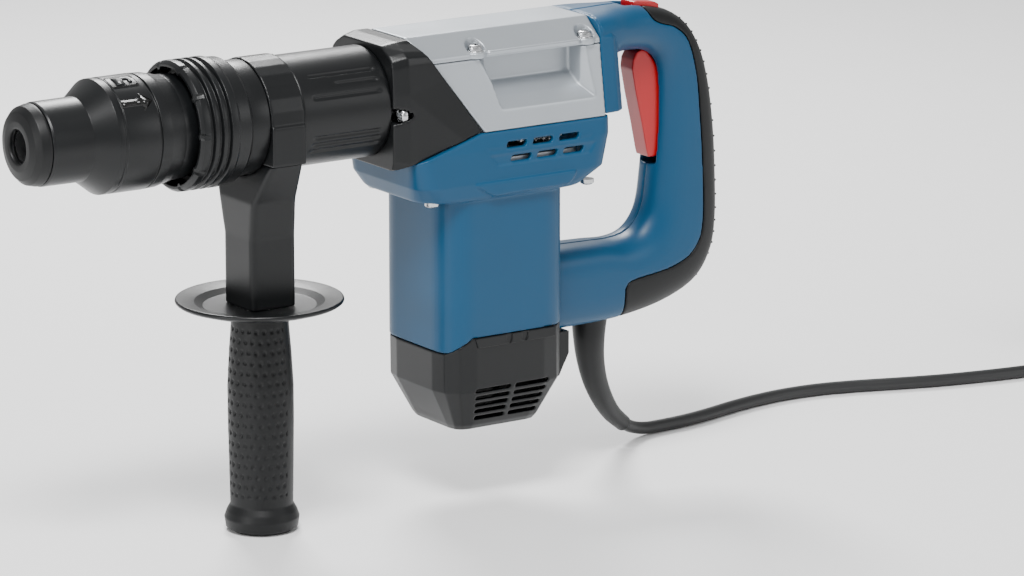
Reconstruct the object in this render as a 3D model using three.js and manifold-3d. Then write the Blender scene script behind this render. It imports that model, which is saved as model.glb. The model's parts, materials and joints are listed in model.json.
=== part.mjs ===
// Electric demolition hammer with a vertical motor, a rear D-handle and a swivelling side handle.
// Units are millimetres. In the tool frame used below, x runs from the nose back to the rear handle,
// z is up and the hammer axis is z = 0, y = 0. The last lines move that frame to the middle of the footprint.
import * as THREE from 'three';
import { mergeVertices } from 'three/addons/utils/BufferGeometryUtils.js';
import Module from 'manifold-3d';

const wasm = await Module();
wasm.setup();

// ---------------------------------------------------------------- driving dimensions
const LENGTH = 477;            // nose to the back of the rear handle
const AXIS_HEIGHT = 247;       // hammer axis above the foot of the side handle
const GAP = 0.3;               // clearance between pieces that touch

const NOSE_R = 23.6;
const SLEEVE_R = 33.2;
const RING_R = 37.8;
const BARREL_R = 32.8;
const HEX_FLATS = 17.2;        // tool shank across flats, with clearance

const DUST_CAP_END = 10.3;
const CONE_START = 36.5;
const CONE_END = 48;
const SLEEVE_SPLIT = 74.3;
const SLEEVE_END = 102;
const RING_START = 98;
const RING_END = 133;
const CLAMP_START = 146;
const CLAMP_END = 168;
const BARREL_END = 228;

const HOUSING_TOP = 37.8;
const HOUSING_REAR = 373.7;
const LID_SPLIT = 23;
const BLUE_TOP = -20;
const MOTOR_X = 306;           // motor axis
const MOTOR_HALF = [43, 38.5]; // half length in x, half width in y
const MOTOR_CORNER = 19;
const FLARE_BOTTOM = -58.5;
const CAP_TOP = -142;
const CAP_BOTTOM = -201;

const CRANK_X = 338;
const CRANK_THROW = 11;
const WRIST_PIN_X = 246;
const WRIST_PIN_R = 4;
const PINION_TEETH = 9;
const CRANK_TEETH = 37;
const MODULE = 2 * (CRANK_X - MOTOR_X) / (PINION_TEETH + CRANK_TEETH);

const HANDLE_X = 157;          // side handle axis
const GUARD_R = 49.5;
const GUARD_Z = -111;
const TRIGGER_HALF_WIDTH = 6.8;
const CORD_D = 8;
const COIL = [868, 74];        // centre of the coiled cord
const COIL_COLUMNS = 3;
const COIL_LAYERS = 4;
const COIL_MEAN_R = 48;
const PLUG_R = 18;

// ---------------------------------------------------------------- materials
const paint = (color, roughness, metalness) => new THREE.MeshStandardMaterial({ color, roughness,
  metalness });
const BLACK = paint(0x1b1e20, 0.5, 0);
const RUBBER = paint(0x121415, 0.8, 0);
const BLUE = paint(0x0d4a78, 0.45, 0);
const SILVER = paint(0xb4b9bf, 0.4, 0.4);
const RED = paint(0xc8161d, 0.4, 0);
const STEEL = paint(0x8d9094, 0.3, 1);
const COPPER = paint(0xb06a35, 0.35, 1);
const CARBON = paint(0x2a2a2c, 0.7, 0.2);

// ---------------------------------------------------------------- solids and joins
// A closed manifold-3d solid from a three.js geometry, turned right side out.
function solid(geometry) {
  const bare = geometry.index ? geometry.toNonIndexed() : geometry.clone();
  bare.deleteAttribute('normal');
  bare.deleteAttribute('uv');
  const merged = mergeVertices(bare, 1e-4);
  const kept = [];
  const index = merged.index.array;
  for (let i = 0; i < index.length; i += 3) {
    const [a, b, c] = [index[i], index[i + 1], index[i + 2]];
    if (a !== b && b !== c && a !== c) kept.push(a, b, c);
  }
  const build = (triangles) => new wasm.Manifold(new wasm.Mesh({
    numProp: 3, vertProperties: merged.attributes.position.array, triVerts: new Uint32Array(triangles),
  }));
  const made = build(kept);
  if (made.volume() > 0) return made;
  const flipped = [];
  for (let i = 0; i < kept.length; i += 3) flipped.push(kept[i], kept[i + 2], kept[i + 1]);
  return build(flipped);
}

function geometryOf(made) {
  const mesh = made.getMesh();
  const geometry = new THREE.BufferGeometry();
  geometry.setAttribute('position', new THREE.BufferAttribute(mesh.vertProperties.slice(), 3));
  geometry.setIndex(new THREE.BufferAttribute(mesh.triVerts.slice(), 1));
  geometry.computeVertexNormals();
  return geometry;
}

const join = (first, ...rest) => rest.reduce((sum, s) => sum.add(s), first);
const cut = (first, ...rest) => rest.reduce((sum, s) => sum.subtract(s), first);

// Moves a geometry's own x, y, z axes onto three given directions.
function turn(geometry, x, y, z) {
  const basis = new THREE.Matrix4().makeBasis(new THREE.Vector3(...x), new THREE.Vector3(...y),
    new THREE.Vector3(...z));
  return geometry.applyMatrix4(basis);
}

// A lathe about x through (0, cy, cz) from [x, radius] points.
function turnedX(profile, segments = 28, cy = 0, cz = 0) {
  const lathe = new THREE.LatheGeometry(profile.map(([x, r]) => new THREE.Vector2(r, x)), segments);
  return solid(turn(lathe, [0, 1, 0], [1, 0, 0], [0, 0, -1]).translate(0, cy, cz));
}

// A lathe about z through (cx, cy) from [z, radius] points.
function turnedZ(profile, segments = 28, cx = 0, cy = 0) {
  const lathe = new THREE.LatheGeometry(profile.map(([z, r]) => new THREE.Vector2(r, z)), segments);
  return solid(turn(lathe, [1, 0, 0], [0, 0, 1], [0, -1, 0]).translate(cx, cy, 0));
}

const rodX = (x0, x1, r, segments = 20, cy = 0, cz = 0) => turnedX([[x0, 0], [x0, r], [x1, r], [x1, 0]],
  segments, cy, cz);
const rodZ = (z0, z1, r, cx, cy = 0, segments = 16) => turnedZ([[z0, 0], [z0, r], [z1, r], [z1, 0]],
  segments, cx, cy);
const tubeX = (x0, x1, outer, inner, segments = 24) =>
  turnedX([[x0, inner], [x0, outer], [x1, outer], [x1, inner], [x0, inner]], segments);
const tubeZ = (z0, z1, outer, inner, cx, cy = 0, segments = 20) =>
  turnedZ([[z0, inner], [z0, outer], [z1, outer], [z1, inner], [z0, inner]], segments, cx, cy);

function box(x0, x1, y0, y1, z0, z1) {
  return solid(new THREE.BoxGeometry(x1 - x0, y1 - y0, z1 - z0)
    .translate((x0 + x1) / 2, (y0 + y1) / 2, (z0 + z1) / 2));
}

// Prisms: an outline of [x, z] points along y, or of [x, y] points along z.
function prismY(points, y0, y1) {
  const shape = new THREE.Shape(points.map(([x, z]) => new THREE.Vector2(x, z)));
  const made = new THREE.ExtrudeGeometry(shape, { depth: y1 - y0, bevelEnabled: false });
  return solid(turn(made, [1, 0, 0], [0, 0, 1], [0, -1, 0]).translate(0, y1, 0));
}

function prismZ(points, z0, z1) {
  const shape = new THREE.Shape(points.map(([x, y]) => new THREE.Vector2(x, y)));
  return solid(new THREE.ExtrudeGeometry(shape, { depth: z1 - z0, bevelEnabled: false }).translate(0, 0,
    z0));
}

// A polygon of [a, b, radius] corners with rounded corners, every corner giving the same count of points.
function rounded(corners, steps = 4) {
  const points = [];
  corners.forEach(([a, b, radius], i) => {
    const here = new THREE.Vector2(a, b);
    const before = new THREE.Vector2(...corners.at(i - 1)).sub(here);
    const after = new THREE.Vector2(...corners[(i + 1) % corners.length]).sub(here);
    const half = Math.acos(THREE.MathUtils.clamp(before.clone().normalize().dot(after.clone().normalize()), -1, 1)) / 2;
    const reach = Math.min(radius / Math.tan(half), 0.49 * before.length(), 0.49 * after.length());
    const start = here.clone().add(before.setLength(reach));
    const end = here.clone().add(after.setLength(reach));
    const curve = new THREE.QuadraticBezierCurve(start, here, end);
    for (let k = 0; k <= steps; k++) points.push(curve.getPoint(k / steps).toArray());
  });
  return points;
}

// A solid through closed loops of 3-D points, all with the same count, capped at both ends.
function loft(loops) {
  const count = loops[0].length;
  const positions = loops.flat(2);
  const centre = (loop) => [0, 1, 2].map((k) => loop.reduce((sum, p) => sum + p[k], 0) / count);
  positions.push(...centre(loops[0]), ...centre(loops.at(-1)));
  const first = loops.length * count;
  const index = [];
  for (let j = 0; j < count; j++) {
    const next = (j + 1) % count;
    for (let i = 0; i + 1 < loops.length; i++) {
      const [a, b, c, d] = [i * count + j, i * count + next, (i + 1) * count + j, (i + 1) * count + next];
      index.push(a, b, c, b, d, c);
    }
    const last = (loops.length - 1) * count;
    index.push(first, next, j, first + 1, last + j, last + next);
  }
  const geometry = new THREE.BufferGeometry();
  geometry.setAttribute('position', new THREE.BufferAttribute(new Float32Array(positions), 3));
  geometry.setIndex(index);
  return solid(geometry);
}

const loopX = (x, outline) => outline.map(([y, z]) => [x, y, z]);
const loopZ = (z, outline) => outline.map(([x, y]) => [x, y, z]);

// Rounded rectangle about (cx, 0) in the xy plane.
function plan(x0, x1, halfY, radius, steps = 3) {
  return rounded([[x0, -halfY, radius], [x1, -halfY, radius], [x1, halfY, radius], [x0, halfY, radius]],
    steps);
}

// ---------------------------------------------------------------- the scene graph
const tool = new THREE.Group();
tool.position.set(-LENGTH / 2, 0, AXIS_HEIGHT);

function add(name, made, material) {
  const mesh = new THREE.Mesh(geometryOf(made), material);
  mesh.name = name;
  tool.add(mesh);
  return mesh;
}

// ---------------------------------------------------------------- chuck
function dustCap() {
  const arc = [];
  for (let i = 0; i <= 4; i++) {
    const t = i / 4 * Math.PI / 2;
    arc.push([9 - 9 * Math.cos(t), 14.4 + 9 * Math.sin(t)]);
  }
  const profile = [[0, 9.8], ...arc, [DUST_CAP_END, NOSE_R], [DUST_CAP_END, 18], [3.6, 18], [3.6, 9.8],
    [0, 9.8]];
  add('dust_cap', turnedX(profile, 28), RUBBER);
}

function hexPrism(flats, x0, x1) {
  const corner = flats / Math.sqrt(3);
  const loop = [];
  for (let i = 0; i < 6; i++) loop.push([corner * Math.cos(i * Math.PI / 3),
    corner * Math.sin(i * Math.PI / 3)]);
  return loft([loopX(x0, loop), loopX(x1, loop)]);
}

function toolHolder() {
  const body = turnedX([[4, 0], [4, 17.6], [38, 17.6], [40, 20.5], [88, 20.5], [90, 23.4], [118, 23.4],
    [118, 0]], 32);
  const bore = rodX(66, 119, 14.2, 28);
  const rollerSlot = box(26, 44, -4, 4, 8, 21);
  add('tool_holder', cut(body, hexPrism(HEX_FLATS, 3, 67), bore, rollerSlot), STEEL);
  add('locking_roller', solid(new THREE.CylinderGeometry(3.2, 3.2, 7, 12).translate(35, 0, 11.3)), STEEL);
}

function lockingSleeve() {
  const profile = [
    [DUST_CAP_END + GAP, 18.2], [DUST_CAP_END + GAP, 23.7], [CONE_START, 24.3], [CONE_END, SLEEVE_R],
    [SLEEVE_SPLIT, SLEEVE_R + 0.2], [SLEEVE_SPLIT + 0.2, SLEEVE_R - 0.8],
      [SLEEVE_SPLIT + 0.9, SLEEVE_R - 0.8],
    [SLEEVE_SPLIT + 1, SLEEVE_R], [82, SLEEVE_R - 0.3], [92, 30.6], [SLEEVE_END, 30], [SLEEVE_END, 27.2],
      [90, 27.6],
    [56, 29], [52, 26], [48, 21.4], [32, 21.4], [29.5, 18.2], [DUST_CAP_END + GAP, 18.2],
  ];
  add('locking_sleeve', turnedX(profile), BLACK);
}

// Compression spring around the x axis.
function sleeveSpring() {
  const turns = 4;
  const [x0, x1, radius, wire] = [54, 84, 23.6, 1];
  const side = 4;
  const perTurn = 10;
  const count = turns * perTurn;
  const loops = [];
  for (let i = 0; i <= count; i++) {
    const angle = i / perTurn * 2 * Math.PI;
    const x = x0 + (x1 - x0) * i / count;
    const loop = [];
    for (let j = 0; j < side; j++) {
      const a = j / side * 2 * Math.PI;
      const r = radius + wire * Math.cos(a);
      loop.push([x + wire * Math.sin(a), r * Math.cos(angle), r * Math.sin(angle)]);
    }
    loops.push(loop);
  }
  add('sleeve_spring', loft(loops), STEEL);
}

function angleRing() {
  const ribs = [];
  for (const groove of [104, 109.5, 115]) ribs.push([groove, RING_R], [groove + 1, 35.8],
    [groove + 2.4, 35.8], [groove + 3.4, RING_R]);
  const profile = [
    [RING_START, 34.2], [RING_START, 36.4], [100, RING_R], ...ribs, [122.5, RING_R], [124, 37], [131, 36.6],
    [RING_END, 35.4], [RING_END, 30.8], [112, 30.8], [111, 34.2], [RING_START, 34.2],
  ];
  add('angle_ring', turnedX(profile, 28), BLACK);
}

// ---------------------------------------------------------------- barrel and impact mechanism
function barrel() {
  const profile = [
    [113, 24.2], [113, 30.2], [133.6, 30.2], [133.6, 33.5], [CLAMP_START - GAP, 33.5],
      [CLAMP_START - GAP, 31.2],
    [CLAMP_END, 31.2], [CLAMP_END, 30.2], [BARREL_END - GAP, 30.2], [BARREL_END - GAP, 24.2], [113, 24.2],
  ];
  add('barrel', turnedX(profile, 28), STEEL);
  add('barrel_cover', tubeX(CLAMP_END + GAP, BARREL_END - GAP, BARREL_R, 30.5, 40), BLACK);
}

function impactParts() {
  add('hammer_tube', tubeX(124, 262, 23.9, 19.4, 32), STEEL);
  const anvil = turnedX([[72, 0], [72, 9], [86, 9], [90, 13.9], [114, 13.9], [116, 11], [134, 11],
    [134, 0]], 24);
  add('anvil', anvil, STEEL);
  add('striker', turnedX([[158, 0], [158, 15], [160, 19.1], [204, 19.1], [206, 17], [206, 0]], 24), STEEL);
  const crown = turnedX([[224, 0], [224, 17], [226, 19.1], [256, 19.1], [256, 0]], 24);
  const fork = box(236, 257, -9, 9, -10.5, -1.5);
  add('piston', join(cut(crown, fork), rodZ(-13, 2, WRIST_PIN_R, WRIST_PIN_X, 0, 16)), STEEL);
  const bigEnd = CRANK_X - CRANK_THROW;
  const ends = join(box(250, bigEnd - 7, -5, 5, -10, -2), rodZ(-10, -2, 8.2, WRIST_PIN_X),
    rodZ(-10, -2, 10, bigEnd));
  add('connecting_rod', cut(ends, rodZ(-12, 0, WRIST_PIN_R + 0.4, WRIST_PIN_X), rodZ(-12, 0, 6, bigEnd)),
    STEEL);
}

// Spur gear outline with teeth of straight-flank form, slack enough to run at the nominal centre distance.
function gear(teeth, z0, z1, cx, startAngle) {
  const pitch = MODULE * teeth / 2;
  const tip = pitch + 0.85 * MODULE;
  const root = pitch - 1.15 * MODULE;
  const step = 2 * Math.PI / teeth;
  const points = [];
  for (let i = 0; i < teeth; i++) {
    const a = startAngle + i * step;
    const widths = [[root, 0.3], [tip, 0.09]];
    for (const [r, w] of widths) points.push([cx + r * Math.cos(a - w * step), r * Math.sin(a - w * step)]);
    for (const [r, w] of widths.reverse()) points.push([cx + r * Math.cos(a + w * step),
      r * Math.sin(a + w * step)]);
  }
  return prismZ(points, z0, z1);
}

function crank() {
  const wheel = gear(CRANK_TEETH, -32, -23, CRANK_X, Math.PI);
  const shaft = rodZ(-55, -14, 7, CRANK_X);
  const web = rodZ(-18, -13, 19, CRANK_X, 0, 28);
  const pin = rodZ(-14, -10.5, 5.5, CRANK_X - CRANK_THROW);
  add('crank_gear', join(wheel, shaft, web, pin), STEEL);
  add('crank_bearing', tubeZ(-54, -46, 15, 7.2, CRANK_X), STEEL);
}

// ---------------------------------------------------------------- motor
function motor() {
  const x = MOTOR_X;
  const shaft = turnedZ([[-177, 0], [-177, 4], [-160, 4], [-160, 6], [-36, 6], [-36, 4.4], [-22, 4.4],
    [-22, 0]], 20, x);
  const pinion = gear(PINION_TEETH, -35, -22, x, Math.PI / PINION_TEETH);
  add('armature', join(shaft, pinion, rodZ(-126, -84, 25.4, x, 0, 28)), STEEL);
  add('commutator', tubeZ(-152, -134, 14.5, 6.3, x, 0, 24), COPPER);
  const blades = [];
  for (let i = 0; i < 7; i++) {
    const a = i / 7 * 2 * Math.PI;
    blades.push(solid(new THREE.BoxGeometry(20, 1.6, 9).translate(20, 0, -67.5).rotateZ(a).translate(x, 0,
      0)));
  }
  add('cooling_fan', cut(join(tubeZ(-73, -71, 31, 6.3, x, 0, 20), tubeZ(-73, -62, 12, 6.3, x, 0, 20),
    ...blades), rodZ(-80, -60, 6.3, x)), BLACK);
  add('upper_bearing', tubeZ(-54, -44, 13, 6.2, x), STEEL);
  add('lower_bearing', tubeZ(-175, -166, 11, 4.3, x), STEEL);
  // Each field winding is a bent sector on one side of the rotor.
  const sector = (side, z0, z1, outer, inner, edge) =>
    tubeZ(z0, z1, outer, inner, x, 0, 32).intersect(box(x - 60, x + 60, ...span(side, edge, 60), -150,
      -60));
  const core = loft([loopZ(-126, plan(x - 38.5, x + 38.5, 34.6, 17, 3)),
    loopZ(-84, plan(x - 38.5, x + 38.5, 34.6, 17, 3))]);
  const windows = [-1, 1].map((side) => sector(side, -140, -70, 33.3, 25, 13.6));
  add('field_stator', cut(core, rodZ(-140, -70, 26.6, x, 0, 28), ...windows), STEEL);
  add('field_coil_left', sector(-1, -132, -78, 33, 27.4, 14), COPPER);
  add('field_coil_right', sector(1, -132, -78, 33, 27.4, 14), COPPER);
  for (const [name, side] of [['left', -1], ['right', 1]]) {
    const [near, far] = [15, 33].map((y) => y * side);
    const span = [Math.min(near, far), Math.max(near, far)];
    const holder = cut(box(x - 6.5, x + 6.5, span[0] + (side > 0 ? 2 : 0), span[1] - (side > 0 ? 0 : 2),
      -148.5, -137.5),
      box(x - 4.2, x + 4.2, span[0] - 1, span[1] + 1, -147, -139));
    add(`brush_holder_${name}`, holder, COPPER);
    const inner = [14.9 * side, 28 * side];
    add(`carbon_brush_${name}`, box(x - 3.9, x + 3.9, Math.min(...inner), Math.max(...inner), -146.7,
      -139.3), CARBON);
  }
}

// ---------------------------------------------------------------- gear housing
// Outline of the gear housing in the yz plane: flat top, sloping shoulders, sides that flare downward.
function housingOutline(inset = 0, top = HOUSING_TOP) {
  const [crown, shoulder, waist, foot] = [17.8, 32, 32.4, 38.6].map((v) => v - inset);
  const t = top - inset;
  const right = [[crown, t, 2], [shoulder, 26.3 - inset / 2, 2], [waist, 21, 1], [foot, BLUE_TOP, 1]];
  return rounded([...right, ...right.map(([y, z, r]) => [-y, z, r]).reverse()], 2);
}

function nosedOutline(halfY, top, foot, radius) {
  const right = [[halfY * 0.6, top, 4], [halfY - 1, top - radius * 0.55, radius * 0.7], [halfY, 8, 4],
    [halfY, foot, 6]];
  return rounded([...right, ...right.map(([y, z, r]) => [-y, z, r]).reverse()], 2);
}

// Region behind the slanted joint between the black front cover and the silver housing, as an outline in xz.
const seamX = (z) => 273.7 - 0.751 * z;
const behindSeam = (shift) => [[seamX(60) + shift, 60], [420, 60], [420, -60], [seamX(-60) + shift, -60]];
// Region below the joint between the covers above and the blue motor housing.
const blueSeam = (shift) => [[200, -45.3 + shift], [286, BLUE_TOP + shift], [420, BLUE_TOP + shift],
  [420, -80], [200, -80]];

function housingBlock(x0, x1, inset = 0) {
  const lower = housingOutline(inset);
  return loft([loopX(x0, lower), loopX(x1, lower)]);
}

function frontCover() {
  const front = loopX(BARREL_END, nosedOutline(34, 35.4, -37, 13));
  const shoulder = loopX(237, nosedOutline(37.2, 37.2, -39, 12));
  const back = loopX(300, housingOutline().map(([y, z]) => [y, z < 0 ? z - 25 : z]));
  const block = loft([front, shoulder, back]);
  const cavity = loft([loopX(232, plan2(31, 31, -34)), loopX(310, plan2(32, 31, -34))]);
  const opening = rodX(220, 300, 30.6, 28);
  const made = cut(block, prismY(behindSeam(-GAP / 2), -60, 60), prismY(blueSeam(GAP / 2), -60, 60),
    cavity, opening,
    ...[-1, 1].map((s) => rodX(220, 240, 4.6, 16, s * 32.8, -4)));
  add('gearbox_front', made, BLACK);
  for (const [name, side] of [['left', -1], ['right', 1]]) {
    const head = rodX(232.5, 239.6, 4.2, 16, side * 32.8, -4);
    add(`front_screw_${name}`, head, STEEL);
  }
}

// Plain rounded inner space of the gear housing, as a yz outline.
function plan2(halfY, top, foot) {
  return rounded([[halfY - 14, top, 3], [halfY, top - 12, 3], [halfY, foot, 3], [-halfY, foot, 3],
    [-halfY, top - 12, 3], [14 - halfY, top, 3]], 2);
}

// Side pocket with an upright back wall, slanted ends and a floor that slopes outward.
function pocket(side) {
  const section = (y, low, topLeft, lowLeft, lowRight, topRight) =>
    [[topLeft, LID_SPLIT], [topRight, LID_SPLIT], [lowRight, low],
      [lowLeft, low]].map(([x, z]) => [x, y * side, z]);
  return loft([
    section(18.5, 6.5, 298.8, 299.5, 360.5, 360.5), section(29, -1, 291.5, 300, 361.5, 361.5),
    section(41, -11.5, 279, 302.5, 371.5, 370),
  ]);
}

function rearHousing() {
  const block = housingBlock(236, HOUSING_REAR);
  const inner = cut(housingBlock(225, HOUSING_REAR - 4, 3.6), ...[-1, 1].map((s) =>
    loft([[15, 3.5], [26, -5.4], [44, -20]].map(([y, low]) =>
      [[275, 60], [HOUSING_REAR, 60], [HOUSING_REAR, low], [283, low]].map(([x, z]) => [x, y * s, z])))));
  const lidInner = cut(housingBlock(225, HOUSING_REAR - 4, 3.6), box(270, 400, 14.5, 60, -40, 60),
    box(270, 400, -60, -14.5, -40, 60));
  const above = box(200, 400, -60, 60, LID_SPLIT + GAP, 60);
  const below = box(200, 400, -60, 60, -60, LID_SPLIT);
  const behind = prismY(behindSeam(GAP / 2), -60, 60);
  const spots = screwSpots();
  const shell = cut(block.intersect(behind).intersect(below), inner, pocket(-1), pocket(1),
    box(200, 400, -60, 60, -60, BLUE_TOP + GAP / 2), ...spots.map(([x, y]) => rodZ(4, 40, 2.6, x, y, 12)));
  add('gearbox_housing', shell, SILVER);
  const boss = spots.map(([x, y]) => rodZ(LID_SPLIT + GAP, 27, 6.4, x, y, 20));
  const seats = spots.map(([x, y]) => rodZ(27, 45, 6, x, y, 20));
  const holes = spots.map(([x, y]) => rodZ(4, 40, 2.6, x, y, 12));
  add('gearbox_lid', cut(join(cut(block.intersect(behind).intersect(above), lidInner), ...boss), ...seats,
    ...holes), SILVER);
  spots.forEach(([x, y], i) => {
    add(`lid_screw_${i + 1}`, join(rodZ(27 + GAP, 31, 4.4, x, y, 16), rodZ(10, 28, 2.3, x, y, 10)), STEEL);
  });
}

function screwSpots() {
  return [[288, -28.2], [365, -28.2], [288, 28.2], [365, 28.2]];
}

// ---------------------------------------------------------------- motor housing and end cap
const capSeam = (shift) => [[200, -151 + shift], [266, -151 + shift], [280, CAP_TOP + shift],
  [420, CAP_TOP + shift],
  [420, -260], [200, -260]];

function motorHousing() {
  const [hx, hy] = MOTOR_HALF;
  const [x0, x1] = [MOTOR_X - hx, MOTOR_X + hx];
  const outer = loft([
    loopZ(-160, plan(x0, x1, hy, MOTOR_CORNER)), loopZ(FLARE_BOTTOM, plan(x0, x1, hy, MOTOR_CORNER)),
    loopZ(FLARE_BOTTOM + 2, plan(248, 362, 40.2, 20)), loopZ(-49, plan(243, 375, 41, 14)),
    loopZ(-30, plan(240, 378.3, 40.2, 10)), loopZ(BLUE_TOP, plan(238, 378.3, 38.9, 8)),
  ]);
  const inner = loft([
    loopZ(-161, plan(x0 + 3, x1 - 3, hy - 3, MOTOR_CORNER - 3)),
      loopZ(FLARE_BOTTOM + 3, plan(x0 + 3, x1 - 3, hy - 3, MOTOR_CORNER - 3)),
    loopZ(FLARE_BOTTOM + 3.2, plan(251, 372, 37, 16)), loopZ(-19, plan(244, 375, 35.6, 8)),
  ]);
  const slots = [];
  for (const side of [-1, 1]) {
    for (const [start, z] of [[302, -30.4], [305, -38.6]]) {
      for (let i = 0; i < 3; i++) slots.push(box(start + i * 18.5, start + i * 18.5 + 15,
        ...span(side, 30, 50), z, z + 3.6));
    }
  }
  const above = prismY([[200, -45.3], [286, BLUE_TOP], [420, BLUE_TOP], [420, 20], [200, 20]], -60, 60);
  const holes = motorScrews().map(([x, y]) => rodZ(-70, -40, 2.7, x, y, 12));
  const posts = motorScrews().map(([x, y]) => rodZ(FLARE_BOTTOM + 1, -38, 5.5, x, y, 16));
  const seats = motorScrews().map(([x, y]) => rodZ(-70, -57, 5, x, y, 16));
  const made = cut(join(cut(outer, inner), ...posts), above, prismY(capSeam(0), -60, 60), ...slots,
    ...holes, ...seats);
  add('motor_housing', made, BLUE);
  motorScrews().forEach(([x, y], i) => {
    add(`motor_screw_${i + 1}`, join(rodZ(-61.5, -57 - GAP, 4.3, x, y, 16),
      rodZ(-58, -41, 2.4, x, y, 10)), STEEL);
  });
}

const span = (side, near, far) => side > 0 ? [near, far] : [-far, -near];

function motorScrews() {
  return [[256, -31], [366, -30], [256, 31], [366, 30]];
}

// Plate that closes the top of the motor and carries the upper bearings.
function bearingPlate() {
  const slab = loft([loopZ(-55, plan(264, 360, 35.6, 14)), loopZ(-37, plan(264, 360, 35.6, 14))]);
  const made = cut(slab, rodZ(-60, -43, 13.3, MOTOR_X, 0, 28), rodZ(-60, -30, 9.4, MOTOR_X, 0, 28),
    rodZ(-60, -30, 15.3, CRANK_X, 0, 28));
  add('bearing_plate', made, SILVER);
}

function endCap() {
  const [hx, hy] = MOTOR_HALF;
  const [x0, x1] = [MOTOR_X - hx, MOTOR_X + hx];
  const outer = loft([
    loopZ(CAP_BOTTOM, plan(x0 + 14, x1 - 15, 25.5, 9)),
      loopZ(CAP_BOTTOM + 3, plan(x0 + 12, x1 - 12.5, 28, 11)),
    loopZ(-175, plan(x0 + 0.3, x1, 38.2, MOTOR_CORNER)), loopZ(-130, plan(x0, x1, hy, MOTOR_CORNER)),
  ]);
  const rearBlock = loft([[-154, 364], [-168, 364], [-181, 357]].map(([z, rear]) =>
    [[345, -15, z], [rear, -15, z], [rear, 15, z], [345, 15, z]]));
  const inner = loft([
    loopZ(CAP_BOTTOM + 3.5, plan(x0 + 17, x1 - 17, 24, 8)),
      loopZ(-175, plan(x0 + 3.4, x1 - 3.4, 34.8, MOTOR_CORNER - 3)),
    loopZ(-120, plan(x0 + 3.2, x1 - 3.2, 35.2, MOTOR_CORNER - 3)),
  ]);
  const seat = tubeZ(-199, -164, 14, 11.3, MOTOR_X);
  const slots = [];
  for (const side of [-1, 1]) {
    for (let row = 0; row < 5; row++) {
      const z = -194.5 + row * 4.6;
      slots.push(box(286 - row, 307, ...span(side, 20, 50), z, z + 2.4));
      slots.push(box(310, 330 + row, ...span(side, 20, 50), z, z + 2.4));
    }
  }
  const aboveSeam = prismY([[200, -151 - GAP], [266, -151 - GAP], [280, CAP_TOP - GAP],
    [420, CAP_TOP - GAP], [420, -100], [200, -100]], -60, 60);
  add('end_cap', cut(join(cut(join(outer, rearBlock), inner), seat), aboveSeam, ...slots), BLACK);
}

// ---------------------------------------------------------------- rear handle
// Stations round the D: inner point, outer point (both [x, z]) and half width in y.
const HANDLE_STATIONS = [
  [[374.2, 8], [374.2, 38], 32], [[388, 9.5], [388, 38.3], 28], [[400, 10.5], [401, 38.6], 23.5],
    [[412, 10.5], [415, 38.2], 20],
  [[421, 9], [434, 34.6], 18], [[427.5, 4.5], [451, 25.5], 17.2], [[431, -4], [463, 9], 16.6],
    [[432, -20], [470.5, -14], 16.2],
  [[431.5, -45], [475, -44], 16.2], [[429, -68], [476.8, -72], 16.4], [[426.5, -85], [477, -98], 17],
  [[422, -95], [473.5, -119], 17.6], [[414, -102], [461.5, -136.5], 18.2],
    [[402, -104.5], [437, -147.5], 19],
  [[388, -104.5], [402, -152.5], 19.6], [[368, -104], [370, -153.5], 20.2],
    [[352.5, -104], [352.5, -153.5], 20.6],
];

// The handle's outside, or the same shape drawn in by an inset, as one solid.
function handleSweep(inset = 0, halfCount = 9) {
  const loops = HANDLE_STATIONS.map(([inner, outer, halfY], station) => {
    const along = [outer[0] - inner[0], outer[1] - inner[1]];
    const reach = Math.hypot(...along) / 2;
    const unit = along.map((v) => v / (2 * reach));
    const mid = [(inner[0] + outer[0]) / 2, (inner[1] + outer[1]) / 2];
    const loop = [];
    const power = 2 / (station < 2 || station > 13 ? 3.6 : 2.7);
    for (let i = 0; i < 2 * halfCount; i++) {
      const a = i / halfCount * Math.PI;
      const r = Math.sign(Math.cos(a)) * Math.abs(Math.cos(a)) ** power * (reach - inset);
      const y = Math.sign(Math.sin(a)) * Math.abs(Math.sin(a)) ** power * (halfY - inset);
      loop.push([mid[0] + unit[0] * r, y, mid[1] + unit[1] * r]);
    }
    return loop;
  });
  return loft(loops);
}

// Where the soft grip shows, as an outline in xz that reaches past the handle's back.
const gripRegion = (shift) => [
  [418 + shift, 60], [419.5 + shift, 37], [422 + shift, 30.5 + shift], [428, 26.6 + shift],
    [440, 22.6 + shift],
  [450 + shift, 13], [456.5 + shift, -9], [459 + shift, -31], [461 + shift, -60], [461.5 + shift, -98],
    [455 + shift, -115],
  [441, -123 - shift], [425, -126 - shift], [407, -128.5 - shift], [402.5 + shift, -133 - shift],
    [402.5 + shift, -180], [500, -180], [500, 60],
];

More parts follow.
